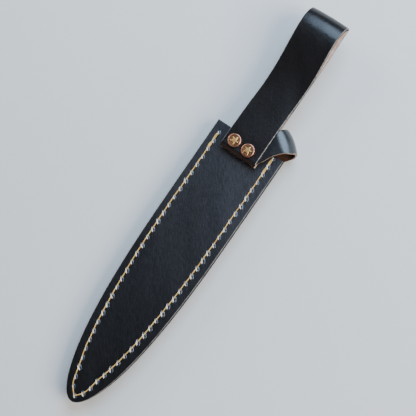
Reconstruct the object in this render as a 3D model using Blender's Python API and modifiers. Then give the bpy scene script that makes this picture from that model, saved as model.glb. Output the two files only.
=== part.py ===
"""Leather belt sheath for a hori hori garden knife, lying on its front panel.

The sheath is three layers of leather sewn round the edge: a back panel, a welt that keeps
the blade off the thread, and a front panel pressed out into a shallow dome for the hollow
blade. A folded belt loop and a keeper strap are riveted to the back. The keeper wraps round
the knife's handle and snaps to the front panel.

Frame: origin at the middle of the dome's flat face, on the sheath's long axis. +X runs
across the sheath, +Y from the tip to the mouth and the belt loop, and +Z out of the back.
All lengths are in metres.
"""

import math

import bmesh
import bpy
from mathutils import Euler, Vector

COLLECTION = "hori_hori_sheath"
CUTTERS = "hori_hori_sheath_cutters"

# Leather and clearance
LEATHER = 0.0022
KEEPER_LEATHER = 0.0018
WELT_THICKNESS = 0.0022
GAP = 0.0003

# Outline of the panels: parallel from the mouth, then drawn in to a rounded point
HALF_WIDTH = 0.0280
LENGTH = 0.2210
MOUTH_Y = 0.1050
TAPER_START = 0.0600
TAPER_POWER = 2.6
TAPER_ROOT = 0.51
TAPER_STEPS = 16

# Front panel's dome, measured from the flat sewn margin
DOME_DEPTH = 0.0072
DOME_AT_MOUTH = 0.0016
DOME_AT_TIP = 0.0030
DOME_RISE = (0.0360, 0.0600)
DOME_FALL = (0.1500, 0.1900)
DOME_STRAIGHT_STEPS = 10
DOME_RINGS = (
    # inset of the sides, inset of the tip, share of the dome's depth
    (0.0000, 0.0000, 0.0),
    (0.0080, 0.0160, 0.0),
    (0.0120, 0.0230, 0.5),
    (0.0160, 0.0310, 1.0),
)

# Welt
WELT_INSET = 0.0080
WELT_TIP_INSET = 0.0155

# Levels of the layers, from the resting plane up
MARGIN_Z = DOME_DEPTH
WELT_Z = MARGIN_Z + LEATHER + GAP
BACK_Z = WELT_Z + WELT_THICKNESS + GAP
BACK_FACE_Z = BACK_Z + LEATHER
REAR_LEG_Z = BACK_FACE_Z + GAP
KEEPER_Z = REAR_LEG_Z + LEATHER + GAP
FRONT_LEG_Z = KEEPER_Z + KEEPER_LEATHER + GAP
FRONT_LEG_TOP_Z = FRONT_LEG_Z + LEATHER

# Belt loop, distances along Y from the mouth
LOOP_HALF_WIDTH = 0.0148
LOOP_END = -0.0148
LOOP_TOP = 0.0998
LOOP_BEND_RADIUS = 0.0058
LOOP_BEND_Z = 0.0222
LOOP_FULL_HEIGHT = 0.0850
REAR_LEG_RISE = 0.0200
FRONT_LEG_RISE = 0.0120
LOOP_LEG_STEPS = 8
LOOP_BEND_STEPS = 12

# Keeper strap, in its own plane: U along the strap and A across it
KEEPER_HEADING = math.radians(54.7)
KEEPER_HALF_WIDTH = 0.0078
KEEPER_ACROSS = 0.0110
KEEPER_ROOT_U = -0.0116
KEEPER_ROOT_COVER = 0.0012
KEEPER_BEND_U = 0.0196
KEEPER_BEND_REACH = 0.0065
KEEPER_FLAP_Z = 0.0012
KEEPER_TIP_U = -0.0250
KEEPER_FOLD_ANGLE = math.radians(-45.0)
KEEPER_BEND_STEPS = 12
KEEPER_CURL_STEPS = 5
KEEPER_TIP_STEPS = 10
TRIM_MARGIN = 0.0020

# Rivets, positions from the middle of the mouth
RIVETS = {"left": (-0.0070, -0.0069), "right": (0.0050, -0.0076)}
RIVET_HEAD_RADIUS = 0.0051
RIVET_HEAD_HEIGHT = 0.0012
RIVET_FIELD_RADIUS = 0.0041
RIVET_FIELD_DEPTH = 0.0004
RIVET_RIM_ROUND = 0.0003
RIVET_TUBE_RADIUS = 0.0019
RIVET_BORE_RADIUS = 0.0012
RIVET_PIN_RADIUS = 0.0009
RIVET_BASE_RADIUS = 0.0042
RIVET_BASE_HEIGHT = 0.0007
RIVET_HOLE_RADIUS = 0.0022
STAR_OUTER = 0.0034
STAR_INNER = 0.0015
STAR_RELIEF = 0.00025
STAR_POINTS = 5

# Snap fastener, on the keeper's centre line
SNAP_U = -0.0160
SNAP_CAP_RADIUS = 0.0062
SNAP_CAP_FLAT = 0.0035
SNAP_CAP_EDGE = 0.0005
SNAP_CAP_HEIGHT = 0.0010
SNAP_POST_RADIUS = 0.0017
SNAP_POST_TOP = 0.0036
SNAP_SOCKET_Z = 0.0032
SNAP_SOCKET_RADIUS = 0.0058
SNAP_SOCKET_BASE = 0.0005
SNAP_SOCKET_HEIGHT = 0.0015
SNAP_SOCKET_BORE = 0.0034
SNAP_STUD_HEAD_Z = 0.0040
SNAP_STUD_HEAD_RADIUS = 0.0027
SNAP_STUD_NECK_RADIUS = 0.0024
SNAP_STUD_NECK_Z = 0.0046
SNAP_STUD_FLANGE_Z = 0.0049
SNAP_STUD_FLANGE_RADIUS = 0.0048
SNAP_STUD_BORE_Z = 0.0045
SNAP_PIN_RADIUS = 0.0012
SNAP_EYELET_RADIUS = 0.0040
SNAP_EYELET_HEIGHT = 0.0006
SNAP_HOLE_RADIUS = 0.0021

# Sewn seam round the edge
SEAM_INSET_LEFT = 0.0054
SEAM_INSET_RIGHT = 0.0072
SEAM_START = 0.0060
STITCH_COUNT = 60
STITCH_SHOULDER = 0.22
THREAD_RADIUS = 0.00045
THREAD_HIGH = 0.00010
THREAD_LOW = 0.00065
GROOVE_RADIUS = 0.0010
GROOVE_DEPTH = 0.00055
OUTLINE_SAMPLES = 400

ROUND_STEPS = 24
HOLE_STEPS = 16

BLACK_LEATHER = ((0.028, 0.031, 0.038), 0.42, 0.0)
GLOSSY_LEATHER = ((0.020, 0.021, 0.025), 0.28, 0.0)
EDGE_LEATHER = ((0.050, 0.042, 0.036), 0.60, 0.0)
THREAD = ((0.520, 0.360, 0.150), 0.65, 0.0)
COPPER = ((0.740, 0.440, 0.340), 0.30, 1.0)
BRASS = ((0.700, 0.520, 0.250), 0.35, 1.0)


# --- Scene helpers -------------------------------------------------------------------------


def clear_scene():
    for obj in list(bpy.data.objects):
        bpy.data.objects.remove(obj, do_unlink=True)


def new_collection(name):
    collection = bpy.data.collections.new(name)
    bpy.context.scene.collection.children.link(collection)
    return collection


def new_material(name, look):
    color, roughness, metallic = look
    material = bpy.data.materials.new(name)
    material.use_nodes = True
    shader = material.node_tree.nodes["Principled BSDF"]
    shader.inputs["Base Color"].default_value = (*color, 1.0)
    shader.inputs["Roughness"].default_value = roughness
    shader.inputs["Metallic"].default_value = metallic
    return material


def add_object(name, data, collection):
    obj = bpy.data.objects.new(name, data)
    collection.objects.link(obj)
    return obj


def add_piece(name, mesh, look, smooth=False):
    piece = add_object(name, mesh, bpy.data.collections[COLLECTION])
    mesh.materials.append(new_material(name, look))
    if smooth:
        mesh.shade_smooth()
        mesh.set_sharp_from_angle(angle=math.radians(40))
    return piece


def add_cutter(name, mesh):
    cutter = add_object(name, mesh, bpy.data.collections[CUTTERS])
    cutter.hide_render = True
    cutter.display_type = "WIRE"
    return cutter


def combine(piece, other, operation):
    modifier = piece.modifiers.new(f"{operation.lower()} {other.name}", "BOOLEAN")
    modifier.object = other
    modifier.operation = operation
    modifier.solver = "EXACT"


def curve_to_mesh(curve, name):
    """Bakes a curve to a welded mesh in world space and removes the curve."""
    carrier = add_object(f"{name}_curve", curve, bpy.context.scene.collection)
    depsgraph = bpy.context.evaluated_depsgraph_get()
    mesh = bpy.data.meshes.new_from_object(carrier.evaluated_get(depsgraph))
    mesh.name = name
    bpy.data.objects.remove(carrier, do_unlink=True)
    bpy.data.curves.remove(curve)
    work = bmesh.new()
    work.from_mesh(mesh)
    bmesh.ops.remove_doubles(work, verts=work.verts, dist=1e-6)
    bmesh.ops.recalc_face_normals(work, faces=work.faces)
    work.to_mesh(mesh)
    work.free()
    return mesh


def flat_mesh(name, outline, thickness):
    """A plate of the given outline, centred on its local XY plane."""
    curve = bpy.data.curves.new(name, "CURVE")
    curve.dimensions = "2D"
    curve.fill_mode = "BOTH"
    curve.extrude = thickness / 2
    spline = curve.splines.new("POLY")
    spline.points.add(len(outline) - 1)
    for point, (x, y) in zip(spline.points, outline):
        point.co = (x, y, 0.0, 1.0)
    spline.use_cyclic_u = True
    return curve_to_mesh(curve, name)


def tube_mesh(name, path, radius, resolution):
    """A capped tube along a path of points."""
    curve = bpy.data.curves.new(name, "CURVE")
    curve.dimensions = "3D"
    curve.bevel_depth = radius
    curve.bevel_resolution = resolution
    curve.use_fill_caps = True
    spline = curve.splines.new("POLY")
    spline.points.add(len(path) - 1)
    for point, position in zip(spline.points, path):
        point.co = (*position, 1.0)
    return curve_to_mesh(curve, name)


def cylinder_mesh(name, radius, z_low, z_high, steps=HOLE_STEPS):
    mesh = bpy.data.meshes.new(name)
    work = bmesh.new()
    bmesh.ops.create_cone(
        work,
        cap_ends=True,
        segments=steps,
        radius1=radius,
        radius2=radius,
        depth=z_high - z_low,
    )
    bmesh.ops.translate(work, verts=work.verts, vec=(0.0, 0.0, (z_low + z_high) / 2))
    work.to_mesh(mesh)
    work.free()
    return mesh


def turned_piece(name, profile, position, look):
    """A piece turned about Z from a profile of radius and height, run top to bottom."""
    mesh = bpy.data.meshes.new(name)
    vertices = [(radius, 0.0, z) for radius, z in profile]
    edges = [(index, index + 1) for index in range(len(profile) - 1)]
    mesh.from_pydata(vertices, edges, [])
    piece = add_piece(name, mesh, look)
    piece.location = (*position, 0.0)
    screw = piece.modifiers.new("turn", "SCREW")
    screw.steps = ROUND_STEPS
    screw.render_steps = ROUND_STEPS
    screw.use_merge_vertices = True
    screw.merge_threshold = 0.00001
    screw.use_smooth_shade = True
    return piece


def drill(piece, label, radius, position, z_low, z_high):
    cutter = add_cutter(f"cut_{label}", cylinder_mesh(f"cut_{label}", radius, z_low, z_high))
    cutter.location = (*position, 0.0)
    combine(piece, cutter, "DIFFERENCE")


# --- Shapes shared by several pieces -------------------------------------------------------


def half_outline(inset, tip_inset, straight_steps):
    """Half width and distance from the mouth, from the mouth to the tip."""
    length = LENGTH - tip_inset
    width = HALF_WIDTH - inset
    stations = [(width, TAPER_START * index / straight_steps) for index in range(straight_steps)]
    for index in range(TAPER_STEPS + 1):
        share = 1.0 - (1.0 - index / TAPER_STEPS) ** 2
        distance = TAPER_START + share * (length - TAPER_START)
        stations.append((width * (1.0 - share**TAPER_POWER) ** TAPER_ROOT, distance))
    return stations


def outline(inset=0.0, tip_inset=0.0, straight_steps=1):
    """Points from the left corner of the mouth round the tip to the right corner."""
    half = half_outline(inset, tip_inset, straight_steps)
    left = [(-width, MOUTH_Y - distance) for width, distance in half]
    right = [(width, MOUTH_Y - distance) for width, distance in reversed(half[:-1])]
    return left + right


def dense_outline():
    """The outer edge as closely spaced points, for measuring along it."""
    points = []
    for index in range(OUTLINE_SAMPLES * 2 + 1):
        share = 1.0 - abs(1.0 - index / OUTLINE_SAMPLES)
        along = 1.0 - (1.0 - share) ** 2
        distance = along * LENGTH
        reach = max(0.0, (distance - TAPER_START) / (LENGTH - TAPER_START))
        width = HALF_WIDTH * (1.0 - reach**TAPER_POWER) ** TAPER_ROOT
        side = -1.0 if index < OUTLINE_SAMPLES else 1.0
        points.append(Vector((side * width, MOUTH_Y - distance)))
    return points


def seam_line():
    """The seam's path: the outer edge moved inwards by the stitching margin."""
    edge = dense_outline()
    last = len(edge) - 1
    path = []
    for index, point in enumerate(edge):
        along = edge[min(index + 1, last)] - edge[max(index - 1, 0)]
        inwards = Vector((-along.y, along.x)).normalized()
        inset = SEAM_INSET_LEFT + (SEAM_INSET_RIGHT - SEAM_INSET_LEFT) * index / last
        path.append(point + inwards * inset)
    return path


def spaced_points(path, start, count):
    """Points at an even pitch along a path, leaving the same length free at both ends."""
    lengths = [0.0]
    for before, after in zip(path, path[1:]):
        lengths.append(lengths[-1] + (after - before).length)
    pitch = (lengths[-1] - 2 * start) / count
    points = []
    segment = 0
    for index in range(count + 1):
        target = start + pitch * index
        while lengths[segment + 1] < target:
            segment += 1
        span = lengths[segment + 1] - lengths[segment]
        share = (target - lengths[segment]) / span
        points.append(path[segment].lerp(path[segment + 1], share))
    return points


def strap_outline(centre_line, thickness):
    """Outline of a strap seen from its edge, from the line through its middle."""
    last = len(centre_line) - 1
    upper = []
    lower = []
    for index, point in enumerate(centre_line):
        along = centre_line[min(index + 1, last)] - centre_line[max(index - 1, 0)]
        across = Vector((-along.y, along.x)).normalized() * (thickness / 2)
        upper.append(point + across)
        lower.append(point - across)
    return upper + lower[::-1]


def strap_piece(name, centre_line, thickness, half_width, heading, across, look):
    """A strap bent in the upright plane of its heading and set off sideways from it."""
    mesh = flat_mesh(name, strap_outline(centre_line, thickness), 2 * half_width)
    piece = add_piece(name, mesh, look)
    piece.rotation_euler = Euler((math.pi / 2, 0.0, heading))
    piece.location = (
        across * math.sin(heading),
        MOUTH_Y - across * math.cos(heading),
        0.0,
    )
    return piece


def arc(centre, reach, height, first, last, steps):
    """Points between two angles on an ellipse of the given half axes."""
    points = []
    for index in range(steps + 1):
        angle = first + (last - first) * index / steps
        offset = Vector((reach * math.cos(angle), height * math.sin(angle)))
        points.append(Vector(centre) + offset)
    return points


def keeper_bend(first, last, steps):
    """The keeper's middle line round its bend, between two angles from straight outwards."""
    lower = KEEPER_FLAP_Z + KEEPER_LEATHER / 2
    height = (KEEPER_Z + KEEPER_LEATHER / 2 - lower) / 2
    centre = (KEEPER_BEND_U, lower + height)
    return arc(centre, KEEPER_BEND_REACH, height, first, last, steps)


def fold_point():
    """The hinge's place in the keeper's plane: the bend's outer face, where it is split."""
    step = math.radians(1.0)
    before, middle, after = keeper_bend(KEEPER_FOLD_ANGLE + step, KEEPER_FOLD_ANGLE - step, 2)
    along = (after - before).normalized()
    return middle + Vector((-along.y, along.x)) * (KEEPER_LEATHER / 2)


def keeper_point(along, across=KEEPER_ACROSS):
    """World X and Y of a point given along and across the keeper strap."""
    x = along * math.cos(KEEPER_HEADING) + across * math.sin(KEEPER_HEADING)
    y = along * math.sin(KEEPER_HEADING) - across * math.cos(KEEPER_HEADING)
    return (x, MOUTH_Y + y)


def rivet_position(side):
    x, y = RIVETS[side]
    return (x, MOUTH_Y + y)


# --- Panels and welt -----------------------------------------------------------------------


def smooth_share(value, low, high):
    share = min(1.0, max(0.0, (value - low) / (high - low)))
    return share * share * (3.0 - 2.0 * share)


def dome_depth(distance):
    """Depth of the dome at a distance from the mouth."""
    rise = smooth_share(distance, *DOME_RISE)
    fall = smooth_share(distance, *DOME_FALL)
    depth = DOME_AT_MOUTH + (DOME_DEPTH - DOME_AT_MOUTH) * rise
    return depth - (DOME_DEPTH - DOME_AT_TIP) * fall


def front_surface():
    """The front panel's outer face: rings that step down from the margin to the dome."""
    rings = []
    for inset, tip_inset, share in DOME_RINGS:
        ring = []
        for x, y in outline(inset, tip_inset, DOME_STRAIGHT_STEPS):
            ring.append((x, y, MARGIN_Z - share * dome_depth(MOUTH_Y - y)))
        rings.append(ring)
    count = len(rings[0])
    vertices = [point for ring in rings for point in ring]
    faces = []
    for ring in range(len(rings) - 1):
        outer = ring * count
        inner = outer + count
        for index in range(count - 1):
            faces.append((outer + index, inner + index, inner + index + 1, outer + index + 1))
    first = (len(rings) - 1) * count
    for index in range(count // 2):
        left = (first + index, first + index + 1)
        right = (first + count - 1 - index, first + count - 2 - index)
        face = (left[0], right[0], right[1], left[1])
        faces.append(face[:3] if right[1] == left[1] else face)
    return vertices, faces


def add_front_panel():
    mesh = bpy.data.meshes.new("front_panel")
    vertices, faces = front_surface()
    mesh.from_pydata(vertices, [], faces)
    work = bmesh.new()
    work.from_mesh(mesh)
    bmesh.ops.recalc_face_normals(work, faces=work.faces)
    if sum(face.normal.z for face in work.faces) > 0.0:
        bmesh.ops.reverse_faces(work, faces=work.faces)
    work.to_mesh(mesh)
    work.free()
    panel = add_piece("front_panel", mesh, BLACK_LEATHER, smooth=True)
    shell = panel.modifiers.new("leather", "SOLIDIFY")
    shell.thickness = LEATHER
    shell.offset = -1.0
    shell.use_even_offset = True
    return panel


def add_welt():
    inner = outline(WELT_INSET, WELT_TIP_INSET)
    mesh = flat_mesh("welt", outline() + inner[::-1], WELT_THICKNESS)
    welt = add_piece("welt", mesh, EDGE_LEATHER)
    welt.location.z = WELT_Z + WELT_THICKNESS / 2
    return welt


def add_back_panel():
    mesh = flat_mesh("back_panel", outline(), LEATHER)
    panel = add_piece("back_panel", mesh, BLACK_LEATHER)
    panel.location.z = BACK_Z + LEATHER / 2
    return panel


# --- Seam ----------------------------------------------------------------------------------


def add_groove(panel, surface_z, outwards):
    """The channel that the stitches lie in."""
    line = spaced_points(seam_line(), SEAM_START - GROOVE_RADIUS, STITCH_COUNT)
    z = surface_z - outwards * GROOVE_DEPTH
    path = [(point.x, point.y, z) for point in line]
    name = f"cut_groove_{panel.name}"
    combine(panel, add_cutter(name, tube_mesh(name, path, GROOVE_RADIUS, 2)), "DIFFERENCE")


def add_thread(name, surface_z, outwards):
    """One seam thread: it rises over each stitch and dips at each awl hole."""
    low = surface_z - outwards * THREAD_LOW
    high = surface_z + outwards * THREAD_HIGH
    holes = spaced_points(seam_line(), SEAM_START, STITCH_COUNT)
    path = []
    for start, end in zip(holes, holes[1:]):
        first = start.lerp(end, STITCH_SHOULDER)
        second = start.lerp(end, 1.0 - STITCH_SHOULDER)
        path.append((start.x, start.y, low))
        path.append((first.x, first.y, high))
        path.append((second.x, second.y, high))
    path.append((holes[-1].x, holes[-1].y, low))
    return add_piece(name, tube_mesh(name, path, THREAD_RADIUS, 1), THREAD, smooth=True)


# --- Belt loop -----------------------------------------------------------------------------


def loop_leg(low_z, high_z, rise_start):
    """One leg of the belt loop: flat at the rivets, then opening to the bend's height."""
    points = [Vector((LOOP_END, low_z))]
    for index in range(LOOP_LEG_STEPS + 1):
        share = index / LOOP_LEG_STEPS
        y = rise_start + (LOOP_FULL_HEIGHT - rise_start) * share
        z = low_z + (high_z - low_z) * math.sin(share * math.pi / 2)
        points.append(Vector((y, z)))
    return points


def add_belt_loop():
    middle = LEATHER / 2
    rear = loop_leg(REAR_LEG_Z + middle, LOOP_BEND_Z - LOOP_BEND_RADIUS, REAR_LEG_RISE)
    front = loop_leg(FRONT_LEG_Z + middle, LOOP_BEND_Z + LOOP_BEND_RADIUS, FRONT_LEG_RISE)
    centre = (LOOP_TOP - LOOP_BEND_RADIUS - middle, LOOP_BEND_Z)
    radius = LOOP_BEND_RADIUS
    bend = arc(centre, radius, radius, -math.pi / 2, math.pi / 2, LOOP_BEND_STEPS)
    centre_line = rear + bend + front[::-1]
    return strap_piece(
        "belt_loop", centre_line, LEATHER, LOOP_HALF_WIDTH, math.pi / 2, 0.0, BLACK_LEATHER
    )


# --- Keeper strap --------------------------------------------------------------------------


def add_keeper_strap():
    """The fixed part: from the rivet out to the side and down the bend to the hinge.

    Its root is cut square to the belt loop, so that the loop's end covers it.
    """
    upper = KEEPER_Z + KEEPER_LEATHER / 2
    bend = keeper_bend(math.pi / 2, KEEPER_FOLD_ANGLE, KEEPER_BEND_STEPS)
    centre_line = [Vector((KEEPER_ROOT_U, upper))] + bend
    strap = strap_piece(
        "keeper_strap",
        centre_line,
        KEEPER_LEATHER,
        KEEPER_HALF_WIDTH,
        KEEPER_HEADING,
        KEEPER_ACROSS,
        GLOSSY_LEATHER,
    )
    reach = 4 * KEEPER_HALF_WIDTH
    corners = ((-reach, -reach), (reach, -reach), (reach, 0.0), (-reach, 0.0))
    trim = add_cutter("cut_keeper_root", flat_mesh("cut_keeper_root", corners, 4 * KEEPER_LEATHER))
    trim.location = (0.0, MOUTH_Y + LOOP_END + KEEPER_ROOT_COVER, upper)
    combine(strap, trim, "DIFFERENCE")
    return strap


def flap_plan():
    """The flap seen from above: square at the bend, round at the tip."""
    side = KEEPER_HALF_WIDTH
    centre = (KEEPER_TIP_U + side, 0.0)
    tip = arc(centre, side, side, math.pi / 2, math.pi * 3 / 2, KEEPER_TIP_STEPS)
    start = KEEPER_BEND_U + 2 * KEEPER_BEND_REACH
    return [Vector((start, -side)), Vector((start, side))] + tip


def add_keeper_flap():
    """The part that swings open, cut from an over-wide strip by its plan shape."""
    z = KEEPER_FLAP_Z + KEEPER_LEATHER / 2
    start = KEEPER_FOLD_ANGLE - GAP / KEEPER_BEND_REACH
    curl = keeper_bend(start, -math.pi / 2, KEEPER_CURL_STEPS)
    flap = strap_piece(
        "keeper_flap",
        curl + [Vector((KEEPER_TIP_U - TRIM_MARGIN, z))],
        KEEPER_LEATHER,
        KEEPER_HALF_WIDTH + TRIM_MARGIN,
        KEEPER_HEADING,
        KEEPER_ACROSS,
        GLOSSY_LEATHER,
    )
    plan = add_cutter("cut_flap_plan", flat_mesh("cut_flap_plan", flap_plan(), 2 * KEEPER_Z))
    plan.location = (*keeper_point(0.0), z)
    plan.rotation_euler.z = KEEPER_HEADING
    combine(flap, plan, "INTERSECT")
    return flap


# --- Rivets --------------------------------------------------------------------------------


def add_rivet_cap(side):
    """A hollow rivet with a dished head and a star raised in the dish."""
    base = FRONT_LEG_TOP_Z + GAP
    rim = base + RIVET_HEAD_HEIGHT
    field = rim - RIVET_FIELD_DEPTH
    tube_end = BACK_Z + RIVET_BASE_HEIGHT + GAP
    profile = [
        (0.0, field),
        (RIVET_FIELD_RADIUS, field),
        (RIVET_FIELD_RADIUS + RIVET_RIM_ROUND, rim),
        (RIVET_HEAD_RADIUS - RIVET_RIM_ROUND, rim),
        (RIVET_HEAD_RADIUS, rim - RIVET_RIM_ROUND),
        (RIVET_HEAD_RADIUS, base),
        (RIVET_TUBE_RADIUS, base),
        (RIVET_TUBE_RADIUS, tube_end),
        (RIVET_BORE_RADIUS, tube_end),
        (RIVET_BORE_RADIUS, FRONT_LEG_Z + LEATHER / 2),
        (0.0, FRONT_LEG_Z + LEATHER / 2),
    ]
    cap = turned_piece(f"rivet_cap_{side}", profile, rivet_position(side), COPPER)
    add_star(cap, side, field)
    return cap


def add_star(cap, side, field_z):
    points = []
    for index in range(2 * STAR_POINTS):
        radius = STAR_INNER if index % 2 else STAR_OUTER
        angle = math.pi * (0.5 + index / STAR_POINTS)
        points.append(Vector((radius * math.cos(angle), radius * math.sin(angle))))
    name = f"join_star_{side}"
    star = add_cutter(name, flat_mesh(name, points, 2 * STAR_RELIEF))
    star.location = (*rivet_position(side), field_z)
    combine(cap, star, "UNION")


def add_rivet_post(side):
    """The pin and base inside the pocket, let into the back panel's inner face."""
    base_top = BACK_Z + RIVET_BASE_HEIGHT
    pin_top = FRONT_LEG_Z + LEATHER / 2 - GAP
    profile = [
        (0.0, pin_top),
        (RIVET_PIN_RADIUS, pin_top),
        (RIVET_PIN_RADIUS, base_top),
        (RIVET_BASE_RADIUS, base_top),
        (RIVET_BASE_RADIUS, BACK_Z),
        (0.0, BACK_Z),
    ]
    return turned_piece(f"rivet_post_{side}", profile, rivet_position(side), BRASS)


def drill_rivet_holes(back_panel, belt_loop, keeper_strap):
    for side in RIVETS:
        position = rivet_position(side)
        drill(
            back_panel, f"{side}_back_hole", RIVET_HOLE_RADIUS, position, MARGIN_Z, REAR_LEG_Z
        )
        drill(
            back_panel,
            f"{side}_base_seat",
            RIVET_BASE_RADIUS + GAP,
            position,
            MARGIN_Z,
            BACK_Z + RIVET_BASE_HEIGHT + GAP,
        )
        drill(
            belt_loop,
            f"{side}_loop_hole",
            RIVET_HOLE_RADIUS,
            position,
            BACK_FACE_Z,
            FRONT_LEG_TOP_Z + GAP,
        )
    drill(
        keeper_strap,
        "keeper_hole",
        RIVET_HOLE_RADIUS,
        rivet_position("right"),
        REAR_LEG_Z + LEATHER,
        FRONT_LEG_Z,
    )


# --- Snap fastener -------------------------------------------------------------------------


def add_snap_cap():
    profile = [
        (0.0, SNAP_POST_TOP),
        (SNAP_POST_RADIUS, SNAP_POST_TOP),
        (SNAP_POST_RADIUS, SNAP_CAP_HEIGHT),
        (SNAP_CAP_RADIUS, SNAP_CAP_HEIGHT),
        (SNAP_CAP_RADIUS, SNAP_CAP_EDGE),
        (SNAP_CAP_FLAT, 0.0),
        (0.0, 0.0),
    ]
    return turned_piece("snap_cap", profile, keeper_point(SNAP_U), COPPER)


def add_snap_socket():
    top = SNAP_SOCKET_Z + SNAP_SOCKET_HEIGHT
    base = SNAP_SOCKET_Z + SNAP_SOCKET_BASE
    profile = [
        (SNAP_SOCKET_BORE, top),
        (SNAP_SOCKET_RADIUS, top),
        (SNAP_SOCKET_RADIUS, SNAP_SOCKET_Z),
        (SNAP_HOLE_RADIUS, SNAP_SOCKET_Z),
        (SNAP_HOLE_RADIUS, base),
        (SNAP_SOCKET_BORE, base),
        (SNAP_SOCKET_BORE, top),
    ]
    return turned_piece("snap_socket", profile, keeper_point(SNAP_U), BRASS)


def add_snap_stud():
    flange_top = MARGIN_Z - DOME_AT_MOUTH - GAP
    profile = [
        (SNAP_POST_RADIUS, flange_top),
        (SNAP_STUD_FLANGE_RADIUS, flange_top),
        (SNAP_STUD_FLANGE_RADIUS, SNAP_STUD_FLANGE_Z),
        (SNAP_STUD_NECK_RADIUS, SNAP_STUD_NECK_Z),
        (SNAP_STUD_HEAD_RADIUS, SNAP_STUD_HEAD_Z + RIVET_RIM_ROUND),
        (SNAP_STUD_NECK_RADIUS, SNAP_STUD_HEAD_Z),
        (0.0, SNAP_STUD_HEAD_Z),
        (0.0, SNAP_STUD_BORE_Z),
        (SNAP_POST_RADIUS, SNAP_STUD_BORE_Z),
        (SNAP_POST_RADIUS, flange_top),
    ]
    return turned_piece("snap_stud", profile, keeper_point(SNAP_U), BRASS)


def add_snap_eyelet():
    """The flanged pin that holds the stud, let into the front panel's inner face."""
    top = MARGIN_Z - DOME_AT_MOUTH + LEATHER
    flange = top - SNAP_EYELET_HEIGHT
    profile = [
        (0.0, top),
        (SNAP_EYELET_RADIUS, top),
        (SNAP_EYELET_RADIUS, flange),
        (SNAP_PIN_RADIUS, flange),
        (SNAP_PIN_RADIUS, SNAP_STUD_BORE_Z + GAP),
        (0.0, SNAP_STUD_BORE_Z + GAP),
    ]
    return turned_piece("snap_eyelet", profile, keeper_point(SNAP_U), BRASS)


def drill_snap_holes(front_panel, keeper_flap):
    position = keeper_point(SNAP_U)
    seat = MARGIN_Z - DOME_AT_MOUTH + LEATHER - SNAP_EYELET_HEIGHT - GAP
    drill(front_panel, "stud_hole", SNAP_HOLE_RADIUS, position, 0.0, WELT_Z)
    drill(front_panel, "eyelet_seat", SNAP_EYELET_RADIUS + GAP, position, seat, WELT_Z)
    drill(keeper_flap, "cap_hole", SNAP_HOLE_RADIUS, position, 0.0, SNAP_STUD_HEAD_Z)


# --- Assembly ------------------------------------------------------------------------------


def hang_on_hinge(pieces):
    """Parents the moving pieces to an empty on the line where the keeper folds."""
    hinge = add_object("keeper_hinge", None, bpy.data.collections[COLLECTION])
    fold = fold_point()
    hinge.location = (*keeper_point(fold.x), fold.y)
    hinge.rotation_euler.z = KEEPER_HEADING
    bpy.context.view_layer.update()
    for piece in pieces:
        piece.parent = hinge
        piece.matrix_parent_inverse = hinge.matrix_world.inverted()


def main():
    clear_scene()
    new_collection(COLLECTION)
    new_collection(CUTTERS)
    front_panel = add_front_panel()
    add_welt()
    back_panel = add_back_panel()
    add_groove(front_panel, MARGIN_Z, -1)
    add_groove(back_panel, BACK_FACE_Z, 1)
    add_thread("seam_thread_front", MARGIN_Z, -1)
    add_thread("seam_thread_back", BACK_FACE_Z, 1)
    belt_loop = add_belt_loop()
    keeper_strap = add_keeper_strap()
    keeper_flap = add_keeper_flap()
    for side in RIVETS:
        add_rivet_cap(side)
        add_rivet_post(side)
    drill_rivet_holes(back_panel, belt_loop, keeper_strap)
    snap_cap = add_snap_cap()
    snap_socket = add_snap_socket()
    add_snap_stud()
    add_snap_eyelet()
    drill_snap_holes(front_panel, keeper_flap)
    hang_on_hinge([keeper_flap, snap_cap, snap_socket])


main()
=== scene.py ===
"""Looks for the leather belt sheath: sewn panels, belt loop, keeper strap, rivets and snap.

The sheath lies on its front panel with its back up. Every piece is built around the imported
frame: +X across the sheath, +Y from the tip to the mouth, +Z out of the back. Metres.
"""

import math
import random

import bmesh
import bpy
import numpy as np
from mathutils import Matrix, Vector, noise


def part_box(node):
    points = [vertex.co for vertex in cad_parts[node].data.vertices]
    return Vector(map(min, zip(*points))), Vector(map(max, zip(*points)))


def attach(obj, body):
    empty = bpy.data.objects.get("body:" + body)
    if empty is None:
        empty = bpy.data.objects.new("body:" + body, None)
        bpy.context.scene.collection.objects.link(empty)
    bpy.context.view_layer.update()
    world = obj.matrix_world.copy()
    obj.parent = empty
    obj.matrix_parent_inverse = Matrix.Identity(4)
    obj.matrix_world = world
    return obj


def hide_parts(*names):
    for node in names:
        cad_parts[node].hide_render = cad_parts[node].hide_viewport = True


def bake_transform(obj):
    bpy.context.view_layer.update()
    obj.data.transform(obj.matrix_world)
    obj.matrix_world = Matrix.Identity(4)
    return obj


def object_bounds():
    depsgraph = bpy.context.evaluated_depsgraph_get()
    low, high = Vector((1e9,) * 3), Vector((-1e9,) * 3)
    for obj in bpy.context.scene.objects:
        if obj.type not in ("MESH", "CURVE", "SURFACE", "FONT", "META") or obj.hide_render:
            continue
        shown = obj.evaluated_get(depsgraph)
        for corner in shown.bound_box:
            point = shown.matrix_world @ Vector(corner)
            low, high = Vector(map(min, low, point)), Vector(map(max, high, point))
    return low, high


SEED = 7
SIDES = ("left", "right")
MM = 0.001
GAP = 0.0003

# Outline of the panels, as in the CAD model
TAPER_START = 0.0600
TAPER_POWER = 2.6
TAPER_ROOT = 0.51
TAPER_SPACING = 1.5
STRAIGHT_STEPS = 100
TAPER_STEPS = 400
MOUTH_ROUNDING = (0.0, 0.12 * MM, 0.3 * MM, 0.55 * MM, 0.9 * MM)

# The back's face lies a little under the CAD's. WAVE and WEAR are a height and a reach, and BAND
# the insets of the fine rings under a seam: first, limit and step.
FACE_SINK = 0.1 * MM
PANEL_WAVE = (0.16 * MM, 0.035)
PANEL_BAND = (3.0 * MM, 11.6 * MM, 0.42 * MM)
WELT_WEAR = (0.12 * MM, 0.004)

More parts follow.
